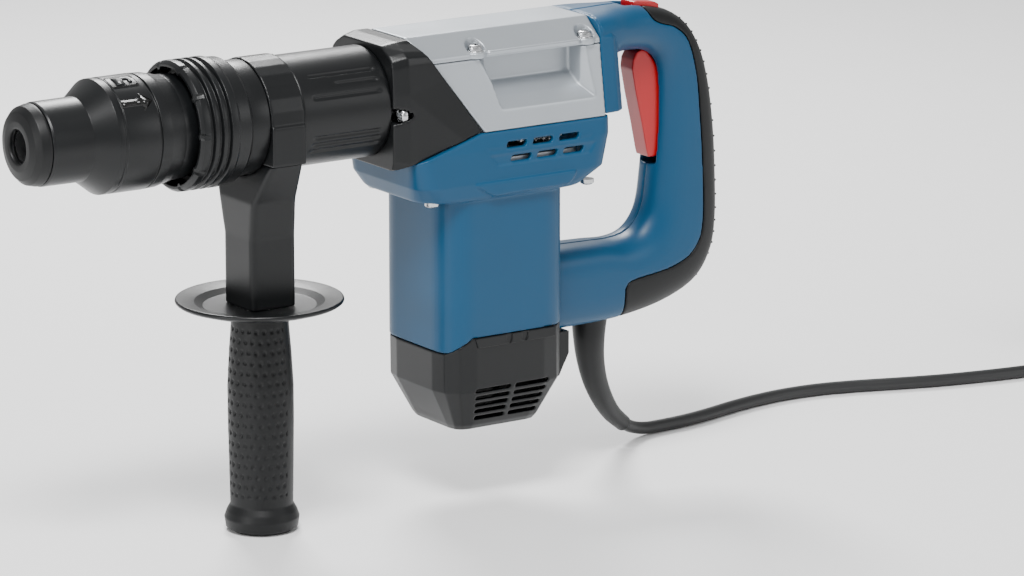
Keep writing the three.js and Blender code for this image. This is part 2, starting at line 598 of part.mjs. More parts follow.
function rearHandle() {
  const outside = handleSweep(0, 9);
  const core = handleSweep(3.4, 9);
  const plate = loft([loopX(HOUSING_REAR + GAP, housingOutline()), loopX(384, housingOutline(1)),
    loopX(389.5, housingOutline(5))]);
  const plateLow = box(370, 392, -60, 60, BLUE_TOP + 1.4 - 40, BLUE_TOP + 1.4);
  const face = cut(plate, plateLow, box(372, 384, -26, 26, -16, 6));
  const hollow = handleSweep(6.6, 6).intersect(box(384, 500, -12, 12, -150, 32));
  const triggerSlot = box(410, 442.5, -7.6, 7.6, -62, 15);
  const buttonSlot = box(408, 438, -7.4, 7.4, 33, 45);
  const boreDown = rodZ(-170, -135, 12, 389, 0, 24);
  const past = box(300, MOTOR_X + MOTOR_HALF[0] + GAP, -60, 60, -170, -90);
  const keep = cut(join(cut(outside, prismY(gripRegion(-GAP / 2), -60, 60)), core, face), hollow,
    triggerSlot, buttonSlot, boreDown, past);
  const ahead = box(340, HOUSING_REAR + GAP, -60, 60, -60, 60);
  for (const [name, side] of [['left', -1], ['right', 1]]) {
    const half = cut(keep, ahead, box(300, 520, ...span(-side, -GAP / 2, 80), -200, 80));
    add(`handle_shell_${name}`, half, BLUE);
  }
  const rubber = cut(outside.intersect(prismY(gripRegion(GAP / 2), -60, 60)), handleSweep(3.1, 9),
    buttonSlot);
  add('handle_grip', rubber, RUBBER);
}

function triggerAndSwitch() {
  const outline = [[415.2, -2], [415.8, 4], [418.4, 8.4], [422, 9.8], [426, 8.4], [429.5, 4], [434.5, -3],
    [437, -50],
    [433, -57], [427.3, -57], [426.2, -53], [422.6, -36], [418.4, -18]];
  add('trigger', prismY(outline, -TRIGGER_HALF_WIDTH, TRIGGER_HALF_WIDTH), RED);
  const button = [[415.5, 35], [434, 33.4], [434, 36.2], [431, 37.8], [418, 39.5], [415.5, 39.2]];
  add('lock_button', prismY(button, -6.8, 6.8), RED);
  add('switch_block', box(442, 454, -6, 6, -52, -12), BLACK);
}

// ---------------------------------------------------------------- side handle
function sideHandle() {
  const band = turnedX([[CLAMP_START, 31.6], [CLAMP_START, 34.4], [CLAMP_END, 34.4], [CLAMP_END, 31.6],
    [CLAMP_START, 31.6]], 28);
  const lug = (s) => box(CLAMP_START, CLAMP_END, ...span(s, 24, 35.5), -24, -1);
  add('handle_clamp', cut(join(band, lug(1), lug(-1)), rodX(140, 175, 31.6, 40),
    box(140, 175, -60, 60, -60, -24), box(140, 175, -20, 20, -60, -10)), BLACK);
  const [x, neck] = [HANDLE_X, 17.5];
  const block = loft([
    loopZ(-112, plan(x - neck + 3, x + neck - 2, 16, 3, 3)),
      loopZ(-70, plan(x - neck + 3, x + neck - 2, 16, 3, 3)),
    loopZ(-48, plan(x - 15.5, x + 14, 20, 3, 3)), loopZ(-24.4, plan(x - 11, x + 11, 33, 3, 3)),
  ]);
  const nutSlot = rodZ(-62, -40, 9, x, 0, 6);
  add('handle_neck', cut(block, rodX(130, 190, 31.7, 40), rodX(130, CLAMP_START, 34, 28),
    rodX(CLAMP_END, 190, 33.3, 40), rodZ(-120, -40, 4.4, x, 0, 16), nutSlot), BLACK);
  add('handle_nut', cut(rodZ(-56, -49, 8.6, x, 0, 6), rodZ(-60, -45, 4.4, x, 0, 16)), STEEL);
  const guard = [
    [GUARD_Z - 5.5, 4.5], [GUARD_Z - 5.5, 22], [GUARD_Z - 3, 38], [GUARD_Z, GUARD_R - 2],
      [GUARD_Z + 1.4, GUARD_R],
    [GUARD_Z + 3.4, GUARD_R - 0.8], [GUARD_Z + 1.2, 38], [GUARD_Z - 1.3, 33], [GUARD_Z - 1.3, 4.5],
      [GUARD_Z - 5.5, 4.5],
  ];
  add('handle_guard', turnedZ(guard, 28, x), BLACK);
  const grip = [
    [-247, 0], [-247, 17.5], [-244.5, 21.2], [-239, 22], [-235, 20.6], [-231, 18.4], [-214, 18.7],
      [-180, 19.3], [-160, 19.3],
    [-140, 18.2], [-125, 17], [GUARD_Z - 6, 16.6], [GUARD_Z - 6, 0],
  ];
  add('side_grip', cut(turnedZ(grip, 24, x), rodZ(-232, -100, 4.6, x, 0, 16)), RUBBER);
  add('clamp_bolt', join(rodZ(-228, -50, 4.1, x, 0, 12), rodZ(-231.5, -226, 4.3, x, 0, 12)), STEEL);
}

// ---------------------------------------------------------------- mains cord
// Points down the middle of the cable sleeve, and of the cord from there to the coil, which lie on the floor.
const SLEEVE_ROUTE = [
  [389, 0, -150], [389.3, 1, -163], [393, 5, -178], [400, 10.5, -194], [410, 17, -209],
    [423, 25.5, -222.5], [438, 34.5, -233.5],
];
const CORD_ROUTE = [
  [438.9, 35, -234.1], [449, 39.5, -239], [461, 43, -242.2], [475, 44.5, -242.9], [494, 46, -242.9],
    [514, 50, -242.9],
  [535, 55.5, -242.9], [558, 60, -242.9], [582, 62, -242.9], [607, 60, -242.9], [632, 53.5, -242.9],
    [657, 44.5, -242.9],
  [684, 35.5, -242.9], [712, 28.5, -242.9], [742, 23, -242.9], [772, 19.2, -242.9], [802, 18, -242.9],
    [COIL[0], 18, -242.9],
];
// A round solid of varying radius along a smooth route.
function sweepSolid(route, radiusAt, sides, steps) {
  const curve = new THREE.CatmullRomCurve3(route.map((p) => new THREE.Vector3(...p)), false, 'centripetal');
  const frames = curve.computeFrenetFrames(steps, false);
  const loops = [];
  for (let i = 0; i <= steps; i++) {
    const at = curve.getPointAt(i / steps);
    const radius = radiusAt(i / steps);
    const loop = [];
    for (let j = 0; j < sides; j++) {
      const a = j / sides * 2 * Math.PI;
      const p = at.clone().addScaledVector(frames.normals[i],
        radius * Math.cos(a)).addScaledVector(frames.binormals[i], radius * Math.sin(a));
      loop.push(p.toArray());
    }
    loops.push(loop);
  }
  return loft(loops);
}

function cordSet() {
  const radius = CORD_D / 2 - 0.05;
  add('cable_sleeve', sweepSolid(SLEEVE_ROUTE, (t) => 11.5 - 6.3 * Math.min(1, t * 1.05) ** 0.8, 14, 10),
    RUBBER);
  const [inner, outer] = [-1, 1].map((side) => COIL_MEAN_R + side * COIL_COLUMNS * CORD_D / 2);
  const [low, high] = [-246.9, -246.9 + COIL_LAYERS * CORD_D];
  const reach = rodZ(-260, -200, outer + GAP, ...COIL, 48);
  add('cord', cut(sweepSolid(CORD_ROUTE, () => radius, 8, 36), reach), RUBBER);
  const ring = turnedZ([[low, inner], [low, outer], [high, outer], [high, inner], [low, inner]], 32,
    ...COIL);
  const tail = [[-90, 0, 0], [-70, 2, 4], [-45, 7, 16], [-20, 14, 24],
    [0, 18, 24]].map(([degrees, out, drop]) => {
    const a = THREE.MathUtils.degToRad(degrees);
    const r = outer - CORD_D / 2 + out;
    return [COIL[0] + r * Math.cos(a), COIL[1] + r * Math.sin(a), high - CORD_D / 2 - drop];
  });
  const plugX = tail.at(-1)[0];
  add('cord_coil', join(ring, sweepSolid(tail, () => radius, 8, 12)), RUBBER);
  add('plug', plug(plugX, COIL[1] + GAP), RUBBER);
  const strap = cut(box(COIL[0] - outer - 2, COIL[0] - inner + 2, COIL[1] - 4, COIL[1] + 4, low, high + 2),
    box(COIL[0] - outer - GAP, COIL[0] - inner + 3 * GAP, COIL[1] - 5, COIL[1] + 5, low - 1, high + GAP));
  add('coil_tie', strap, BLACK);
}

// Two-pin mains plug lying along y on the floor.
function plug(x, y) {
  const z = PLUG_R - 246.9;
  const profile = [[0, 0], [0, 5], [16, 8], [22, PLUG_R - 2], [26, PLUG_R], [50, PLUG_R],
    [52, PLUG_R - 1], [52, 0]];
  const lathe = new THREE.LatheGeometry(profile.map(([along, r]) => new THREE.Vector2(r, along)), 24);
  const body = solid(lathe.translate(x, y, z));
  const pin = (dx) => solid(new THREE.CylinderGeometry(2.4, 2.4, 20, 12).translate(x + dx, y + 61, z));
  return join(body, pin(-9.5), pin(9.5));
}

dustCap();
toolHolder();
lockingSleeve();
sleeveSpring();
angleRing();
barrel();
impactParts();
crank();
motor();
frontCover();
rearHousing();
motorHousing();
bearingPlate();
endCap();
rearHandle();
triggerAndSwitch();
sideHandle();
cordSet();

export default tool;
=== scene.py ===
"""Looks for the electric demolition hammer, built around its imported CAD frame.

Shapes are given in the tool frame, in millimetres: x runs back from the nose, z is up and the hammer axis
is y = 0, z = 0. at() turns them into the row frame, in metres.
"""

import json
import math

import bmesh
import bpy
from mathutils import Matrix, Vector


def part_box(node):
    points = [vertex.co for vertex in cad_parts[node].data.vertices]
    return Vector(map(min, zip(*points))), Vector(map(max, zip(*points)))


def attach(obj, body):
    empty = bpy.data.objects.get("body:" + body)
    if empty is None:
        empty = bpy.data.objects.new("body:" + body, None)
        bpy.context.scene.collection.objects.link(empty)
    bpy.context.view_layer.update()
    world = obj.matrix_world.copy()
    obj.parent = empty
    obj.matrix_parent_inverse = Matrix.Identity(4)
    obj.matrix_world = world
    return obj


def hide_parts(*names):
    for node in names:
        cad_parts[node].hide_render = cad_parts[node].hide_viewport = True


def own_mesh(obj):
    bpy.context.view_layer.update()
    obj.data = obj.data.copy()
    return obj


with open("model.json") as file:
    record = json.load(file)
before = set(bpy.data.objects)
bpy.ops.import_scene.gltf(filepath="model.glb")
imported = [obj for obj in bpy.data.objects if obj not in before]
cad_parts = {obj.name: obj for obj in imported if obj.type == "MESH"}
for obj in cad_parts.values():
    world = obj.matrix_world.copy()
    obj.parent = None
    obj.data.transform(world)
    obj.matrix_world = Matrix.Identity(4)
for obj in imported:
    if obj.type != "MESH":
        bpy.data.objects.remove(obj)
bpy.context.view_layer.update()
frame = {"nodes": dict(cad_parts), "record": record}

MM = 0.001
NOSE_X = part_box("dust_cap")[0][0]
AXIS_Z = (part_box("dust_cap")[0][2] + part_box("dust_cap")[1][2]) / 2

# Sizes shared by several pieces, in millimetres.
SLEEVE_R = 33.2
HANDLE_X = 157
GUARD_Z = -111
GRIP_FOOT_Z, GRIP_TOP_Z, GRIP_BOLT_Z, GRIP_BORE_R = -247, -117, -229, 4.6
MOTOR_X = 306
MOTOR_HALF_X, MOTOR_HALF_Y, MOTOR_CORNER = 43, 38.5, 19
MOTOR_WALL = 3
FLARE_SCREWS = ((256, -31), (366, -30), (256, 31), (366, 30))
LID_SCREW_X, LID_SCREW_Y, LID_TOP_Z = (288, 365), 28.2, 26.9
CORD_D = 8
CORD_REST_Z = -242.9
COIL_X, COIL_Y, COIL_R = 868, 74, 48


def at(x, y, z):
    return Vector((NOSE_X + x * MM, y * MM, AXIS_Z + z * MM))


# ---------------------------------------------------------------- camera, light and floor
def add_camera():
    azimuth, elevation = math.radians(-33.8), math.radians(13.8)
    back = Vector((
        math.sin(azimuth) * math.cos(elevation),
        -math.cos(azimuth) * math.cos(elevation),
        math.sin(elevation),
    ))
    data = bpy.data.cameras.new("camera")
    data.lens = 193.4
    camera = bpy.data.objects.new("camera", data)
    camera.location = at(332.8, 0, -126.6) + back * 3.2826
    camera.rotation_euler = back.to_track_quat("Z", "Y").to_euler()
    bpy.context.collection.objects.link(camera)
    bpy.context.scene.camera = camera


def add_light(name, location, aim, size, watts):
    data = bpy.data.lights.new(name, "AREA")
    data.size = size
    data.energy = watts
    lamp = bpy.data.objects.new(name, data)
    lamp.location = location
    lamp.rotation_euler = (Vector(location) - Vector(aim)).to_track_quat("Z", "Y").to_euler()
    bpy.context.collection.objects.link(lamp)


def add_studio():
    aim = at(280, 0, -60)
    add_light("key", (-0.7, -0.9, 2.1), aim, 0.7, 62)
    add_light("rim", (0.6, 1.3, 1.4), aim, 0.6, 40)
    add_light("front", (-2.0, -0.4, 0.6), aim, 0.5, 13)
    add_light("side", (1.4, -1.7, 0.9), aim, 0.8, 7)
    world = bpy.data.worlds.new("studio")
    bpy.context.scene.world = world
    world.use_nodes = True
    sky = world.node_tree.nodes["Background"]
    sky.inputs["Color"].default_value = (1, 1, 1, 1)
    sky.inputs["Strength"].default_value = 0.5
    bpy.ops.mesh.primitive_plane_add(size=14, location=(0, 0, 0))
    floor = bpy.context.object
    floor.name = "floor"
    white = surface("floor_white", (0.93, 0.93, 0.93), 0.7, grain=60, depth=0.0, mottle=0.005)
    floor.data.materials.append(white)


# ---------------------------------------------------------------- materials
def surface(name, color, roughness, metallic=0.0, grain=2600, depth=0.00004, mottle=0.12, worn=None, coat=0.0,
            streak=None, gleam=0.5):
    """A procedural finish: fine grain in the bump, slow change of colour and roughness, and worn edges.

    depth is the grain's height in metres, mottle the share by which the colour varies, worn the colour of rubbed
    edges, streak the stretch of the grain along each axis, and gleam the specular level.
    """
    material = bpy.data.materials.new(name)
    material.use_nodes = True
    nodes, links = material.node_tree.nodes, material.node_tree.links
    shader = nodes["Principled BSDF"]
    shader.inputs["Metallic"].default_value = metallic
    shader.inputs["Coat Weight"].default_value = coat
    shader.inputs["Specular IOR Level"].default_value = gleam
    shader.inputs["Coat Roughness"].default_value = 0.25
    place = nodes.new("ShaderNodeTexCoord")
    fine = nodes.new("ShaderNodeTexNoise")
    fine.inputs["Scale"].default_value = grain
    fine.inputs["Detail"].default_value = 3
    slow = nodes.new("ShaderNodeTexNoise")
    slow.inputs["Scale"].default_value = 26
    slow.inputs["Detail"].default_value = 5
    links.new(place.outputs["Object"], slow.inputs["Vector"])
    if streak:
        stretch = nodes.new("ShaderNodeMapping")
        stretch.inputs["Scale"].default_value = streak
        links.new(place.outputs["Object"], stretch.inputs["Vector"])
        links.new(stretch.outputs["Vector"], fine.inputs["Vector"])
    else:
        links.new(place.outputs["Object"], fine.inputs["Vector"])

    tone = nodes.new("ShaderNodeMix")
    tone.data_type = "RGBA"
    tone.inputs["A"].default_value = (*[c * (1 - mottle) for c in color], 1)
    tone.inputs["B"].default_value = (*[min(1, c * (1 + mottle)) for c in color], 1)
    links.new(slow.outputs["Fac"], tone.inputs["Factor"])
    last = tone.outputs["Result"]
    if worn:
        edge = nodes.new("ShaderNodeNewGeometry")
        ramp = nodes.new("ShaderNodeMapRange")
        ramp.inputs["From Min"].default_value = 0.53
        ramp.inputs["From Max"].default_value = 0.62
        ramp.inputs["To Max"].default_value = 0.5
        links.new(edge.outputs["Pointiness"], ramp.inputs["Value"])
        rub = nodes.new("ShaderNodeMix")
        rub.data_type = "RGBA"
        rub.inputs["B"].default_value = (*worn, 1)
        links.new(ramp.outputs["Result"], rub.inputs["Factor"])
        links.new(last, rub.inputs["A"])
        last = rub.outputs["Result"]
    links.new(last, shader.inputs["Base Color"])

    rough = nodes.new("ShaderNodeMapRange")
    rough.inputs["To Min"].default_value = roughness - 0.06
    rough.inputs["To Max"].default_value = roughness + 0.06
    links.new(slow.outputs["Fac"], rough.inputs["Value"])
    links.new(rough.outputs["Result"], shader.inputs["Roughness"])
    bump = nodes.new("ShaderNodeBump")
    bump.inputs["Strength"].default_value = 0.6
    bump.inputs["Distance"].default_value = depth
    links.new(fine.outputs["Fac"], bump.inputs["Height"])
    links.new(bump.outputs["Normal"], shader.inputs["Normal"])
    return material


BLACK = surface("black_plastic", (0.005, 0.0056, 0.0062), 0.34, depth=0.00006, mottle=0.2,
                worn=(0.02, 0.022, 0.024), gleam=0.32)
RUBBER = surface("black_rubber", (0.004, 0.0044, 0.0048), 0.46, grain=1800, depth=0.00008, mottle=0.2, gleam=0.3)
BLUE = surface("blue_plastic", (0.0012, 0.055, 0.128), 0.4, depth=0.00005, mottle=0.06,
               worn=(0.008, 0.09, 0.18), gleam=0.35)
SILVER = surface("silver_paint", (0.4, 0.43, 0.46), 0.36, metallic=0.5, grain=3200, depth=0.00003, mottle=0.05,
                 worn=(0.6, 0.62, 0.64))
RED = surface("red_plastic", (0.42, 0.004, 0.007), 0.32, depth=0.00002, mottle=0.05,
              worn=(0.5, 0.012, 0.014), coat=0.15)
STEEL = surface("machined_steel", (0.52, 0.53, 0.54), 0.26, metallic=1.0, grain=900, depth=0.00002, mottle=0.1,
                worn=(0.75, 0.75, 0.76), streak=(0.1, 3, 3))
COPPER = surface("copper_wire", (0.6, 0.26, 0.11), 0.32, metallic=1.0, grain=1500, depth=0.0001,
                 streak=(1, 1, 0.2))
CARBON = surface("carbon", (0.02, 0.02, 0.022), 0.65, grain=3000)
LEAD = surface("cord_rubber", (0.012, 0.0125, 0.013), 0.46, grain=1500, depth=0.00005)
MARK = surface("mark_black", (0.002, 0.002, 0.002), 0.25, depth=0.00001)

# The finish of each material slot in the record.
FINISH = {
    "black_rubber": RUBBER, "black_plastic": BLACK, "blue_plastic": BLUE, "cast_alloy": SILVER,
    "red_plastic": RED, "steel": STEEL, "copper": COPPER, "carbon": CARBON,
}


# ---------------------------------------------------------------- mesh helpers
def mesh_piece(name, points, faces):
    """A mesh object from tool-frame points, with its faces turned outward."""
    data = bpy.data.meshes.new(name)
    data.from_pydata([at(*p) for p in points], [], faces)
    made = bmesh.new()
    made.from_mesh(data)
    bmesh.ops.recalc_face_normals(made, faces=made.faces)
    made.to_mesh(data)
    made.free()
    piece = bpy.data.objects.new(name, data)
    bpy.context.collection.objects.link(piece)
    return piece


def rounded(corners, steps=6):
    """Points round a polygon of (a, b, radius) corners, steps + 1 of them on each corner's curve."""
    points = []
    for i, (a, b, radius) in enumerate(corners):
        here = Vector((a, b))
        before = Vector(corners[i - 1][:2]) - here
        after = Vector(corners[(i + 1) % len(corners)][:2]) - here
        half = before.angle(after) / 2
        reach = min(radius / math.tan(half), 0.49 * before.length, 0.49 * after.length)
        start = here + before.normalized() * reach
        end = here + after.normalized() * reach
        for k in range(steps + 1):
            t = k / steps
            points.append(tuple(start * (1 - t) ** 2 + here * 2 * t * (1 - t) + end * t * t))
    return points


def plan(x0, x1, half_y, radius):
    """A rounded rectangle seen from above."""
    return rounded([(x0, -half_y, radius), (x1, -half_y, radius), (x1, half_y, radius), (x0, half_y, radius)], 12)


def loop_z(z, outline):
    return [(x, y, z) for x, y in outline]


def blended(loops, steps):
    """More loops between those given, on a smooth curve through matching points."""
    out = []
    for i in range(len(loops) - 1):
        four = [loops[max(i - 1, 0)], loops[i], loops[i + 1], loops[min(i + 2, len(loops) - 1)]]
        for k in range(steps):
            t = k / steps
            weights = (
                -0.5 * t + t * t - 0.5 * t ** 3,
                1 - 2.5 * t * t + 1.5 * t ** 3,
                0.5 * t + 2 * t * t - 1.5 * t ** 3,
                -0.5 * t * t + 0.5 * t ** 3,
            )
            out.append([
                tuple(sum(w * p[axis] for w, p in zip(weights, points)) for axis in range(3))
                for points in zip(*four)
            ])
    return out + [loops[-1]]


def loft(name, loops):
    """A closed skin over loops of matching points, capped at both ends."""
    count = len(loops[0])
    points = [p for loop in loops for p in loop]
    faces = []
    for i in range(len(loops) - 1):
        for j in range(count):
            k = (j + 1) % count
            faces.append((i * count + j, i * count + k, (i + 1) * count + k, (i + 1) * count + j))
    faces.append(tuple(range(count)))
    faces.append(tuple(range((len(loops) - 1) * count, len(loops) * count)))
    return mesh_piece(name, points, faces)


def block(name, x0, x1, y0, y1, z0, z1):
    return loft(name, [
        [(x, y0, z0), (x, y1, z0), (x, y1, z1), (x, y0, z1)] for x in (x0, x1)
    ])


def prism_y(name, outline, y0, y1):
    return loft(name, [[(x, y, z) for x, z in outline] for y in (y0, y1)])


def circle(sides):
    """The cosine and sine of each corner's angle in a regular polygon."""
    return [(math.cos(a), math.sin(a)) for a in [2 * math.pi * i / sides for i in range(sides)]]


def disc_z(name, z0, z1, radius, x, y=0, sides=32):
    return loft(name, [[(x + radius * c, y + radius * s, z) for c, s in circle(sides)] for z in (z0, z1)])


def spun(name, profile, axis, cx=0, cy=0, sides=144, closed=True, relief=None):
    """A turned piece from (along, radius) points. relief(along, angle) is added to each radius.

    It turns about the hammer axis when axis is "x", and about the upright line through (cx, cy) otherwise.
    """
    points, faces = [], []
    count = len(profile)
    for j in range(sides):
        a = 2 * math.pi * j / sides
        for along, radius in profile:
            r = radius + (relief(along, a) if relief and radius > 0 else 0)
            if axis == "x":
                points.append((along, r * math.cos(a), r * math.sin(a)))
            else:
                points.append((cx + r * math.cos(a), cy + r * math.sin(a), along))
    for j in range(sides):
        k = (j + 1) % sides
        for i in range(count if closed else count - 1):
            n = (i + 1) % count
            faces.append((j * count + i, j * count + n, k * count + n, k * count + i))
    return mesh_piece(name, points, faces)


def softened(profile, radius, steps=3):
    """A closed profile with each of its corners rounded by up to that radius."""
    return rounded([(a, b, radius) for a, b in profile], steps)


def apply_modifiers(piece):
    """Turns what the modifiers make into the piece's own mesh."""
    graph = bpy.context.evaluated_depsgraph_get()
    data = bpy.data.meshes.new_from_object(piece.evaluated_get(graph))
    piece.modifiers.clear()
    piece.data = data
    return piece


def carve(piece, cutters, operation="DIFFERENCE"):
    """Cuts the other solids from the piece, or joins or intersects it with them, and removes them."""
    for cutter in cutters:
        modifier = piece.modifiers.new("carve", "BOOLEAN")
        modifier.operation = operation
        modifier.solver = "EXACT"
        modifier.object = cutter
    apply_modifiers(piece)
    for cutter in cutters:
        bpy.data.objects.remove(cutter)
    return piece


def moulded(piece, voxel=0.9, smooth=4):
    """Rounds every edge a little, as a moulding or casting has it."""
    remesh = piece.modifiers.new("skin", "REMESH")
    remesh.mode = "VOXEL"
    remesh.voxel_size = voxel * MM
    relax = piece.modifiers.new("relax", "SMOOTH")
    relax.factor = 0.5
    relax.iterations = smooth
    return apply_modifiers(piece)


def copy_of(node, name):
    """A new object with a copy of a CAD node's mesh, to be refined."""
    piece = bpy.data.objects.new(name, frame["nodes"][node].data.copy())
    piece.data.materials.clear()
    bpy.context.collection.objects.link(piece)
    return piece


def hand_over(piece, body, material, slot, *nodes):
    """Gives a piece its finish and body, and lets it stand for the CAD nodes that it replaces."""
    piece.data.materials.clear()
    piece.data.materials.append(material)
    if piece.type == "MESH":
        piece.data.shade_smooth()
    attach(piece, body)
    if nodes:
        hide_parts(*nodes)
    return piece


def crisp(piece, angle=32):
    """Keeps edges sharper than this angle crisp in the shading."""
    piece.data.set_sharp_from_angle(angle=math.radians(angle))
    return piece


# ---------------------------------------------------------------- chuck
def build_chuck():
    cap = softened([
        (0, 9.8), (0, 14.4), (1.2, 19.5), (4.2, 22.4), (8.8, 23.5), (10.3, 23.5), (10.3, 18), (3.6, 18), (3.6, 9.8),
    ], 1.4)
    hand_over(spun("dust_cap_rubber", cap, "x"), "chuck", RUBBER, "black_rubber", "dust_cap")

    sleeve = softened([
        (10.6, 18.2), (10.6, 23.6), (12, 24.1), (36.5, 24.3), (48, 33.1), (51.4, SLEEVE_R), (51.9, 32.8),
        (53, 32.8), (53.4, SLEEVE_R), (74.3, 33.3), (74.5, 32.2), (75.4, 32.2), (75.6, SLEEVE_R), (82, 32.9),
        (92, 30.6), (102, 30), (102, 27.2), (90, 27.6), (56, 29), (52, 26), (48, 21.4), (32, 21.4), (29.5, 18.2),
    ], 0.5)

    def sleeve_relief(along, angle):
        # Shallow finger flats run round the cone.
        if 37 < along < 47:
            return -0.35 * max(0, math.cos(angle * 12)) ** 6
        return 0

    hand_over(spun("locking_sleeve_shell", sleeve, "x", relief=sleeve_relief), "sleeve", BLACK, "black_plastic",
              "locking_sleeve")
    add_sleeve_marks()

    ring = [(98, 34.2), (98, 36), (100, 37.7)]
    for groove in (104, 109.5, 115):
        ring += [(groove, 37.8), (groove + 0.8, 35.5), (groove + 2.6, 35.5), (groove + 3.4, 37.8)]
    ring += [(122.5, 37.8), (124, 36.9), (131, 36.6), (133, 35.4), (133, 30.8), (112, 30.8), (111, 34.2)]

    def ring_relief(along, angle):
        # Small notches round the front edge, and a plain panel low on the near side where the ribs stop.
        if along < 100.5:
            return -1.4 if math.cos(angle * 10) > 0.9 else 0
        panel = abs((math.degrees(angle) + 180) % 360 - 180 + 150) < 15
        if panel and 103.5 < along < 121:
            return 0.35 if along > 105 else 0
        return 0

    ribbed = crisp(spun("angle_ring_ribbed", softened(ring, 0.5), "x", sides=240, relief=ring_relief))
    hand_over(ribbed, "ring", BLACK, "black_plastic", "angle_ring")


def build_spring():
    """The sleeve's return spring, built as a fixed coil; nothing here shortens it as the sleeve slides back."""
    front, back, radius, wire, turns, per_turn = 54, 84, 23.6, 0.95, 4, 36
    path = []
    for i in range(turns * per_turn + 1):
        a = 2 * math.pi * i / per_turn
        path.append((front + (back - front) * i / (turns * per_turn), radius * math.cos(a), radius * math.sin(a)))
    spring = tube("sleeve_spring_coil", path, [wire] * len(path), 12)
    hand_over(spring, "chuck", STEEL, "steel", "sleeve_spring")
    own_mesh(spring)


def on_cylinder(name, outline, centre_x, angle, radius, height):
    """A raised plate that follows a cylinder about the hammer axis: outline points are (along x, along the arc)."""
    dense = []
    for i, (a, b) in enumerate(outline):
        c, d = outline[(i + 1) % len(outline)]
        steps = max(1, int(math.hypot(c - a, d - b) / 0.8))
        dense += [(a + (c - a) * k / steps, b + (d - b) * k / steps) for k in range(steps)]
    loops = []
    for r in (radius - 0.4, radius + height):
        loops.append([
            (centre_x + a, r * math.cos(angle + b / radius), r * math.sin(angle + b / radius)) for a, b in dense
        ])
    return loft(name, loops)


def add_sleeve_marks():
    """A generic arrow, and an open padlock on a plate, on the near side of the sleeve."""
    near_top = math.radians(180 - 42)
    above = math.radians(180 - 74)
    arrow = [(-10, -2.3), (3, -2.3), (3, -6), (10, 0), (3, 6), (3, 2.3), (-10, 2.3)]
    plate = rounded([(-8.5, -6.5, 1.2), (8.5, -6.5, 1.2), (8.5, 6.5, 1.2), (-8.5, 6.5, 1.2)], 4)
    body = [(-5, -4), (0.5, -4), (0.5, 4), (-5, 4)]
    shackle = [(0.5, -2.6), (5.5, -2.6), (5.5, 2.6), (3.8, 2.6), (3.8, -1), (0.5, -1)]
    for name, outline, middle_x, angle, height, finish in (
        ("sleeve_arrow", arrow, 63.4, near_top, 0.25, MARK),
        ("sleeve_plate", plate, 62.5, above, 0.25, MARK),
        ("lock_mark_body", body, 62.5, above, 0.6, BLACK),
        ("lock_mark_shackle", shackle, 62.5, above, 0.6, BLACK),
    ):
        mark = on_cylinder(name, outline, middle_x, angle, SLEEVE_R, height)
        hand_over(mark, "sleeve", finish, "black_plastic")


# ---------------------------------------------------------------- barrel
def build_barrel():
    neck = softened([
        (113, 24.2), (113, 30.2), (133.6, 30.2), (133.6, 33.3), (145.7, 33.5), (145.7, 31.2), (168, 31.2),
        (168, 30.2), (227.7, 30.2), (227.7, 24.2),
    ], 0.6)
    hand_over(spun("barrel_neck", neck, "x"), "frame", BLACK, "steel", "barrel")

    cover = [(168.3, 30.5), (168.3, 32.2)]
    cover += [(168.8 + i * 1.16, 32.8) for i in range(51)]
    cover += [(227.7, 32.4), (227.7, 30.5)]

    def grooves(along, angle):
        # Long pill-shaped grooves run along both sides of the cover.
        side = math.degrees(angle) % 360
        for middle in (22, 34, 46, 134, 146, 158, 200, 208, 216, 324, 332, 340):
            short = middle in (34, 146)
            start, end = (192, 222) if short else (176, 222)
            reach = min(1, max(0, (along - start) / 2)) * min(1, max(0, (end - along) / 2))
            near = max(0, 1 - abs(side - middle) / 2.6)
            if near > 0 and reach > 0:
                return -0.8 * min(1, near * 2.2) * reach
        return 0

    hand_over(spun("barrel_cover_grooved", cover, "x", sides=360, relief=grooves), "frame", BLACK, "black_plastic",
              "barrel_cover")


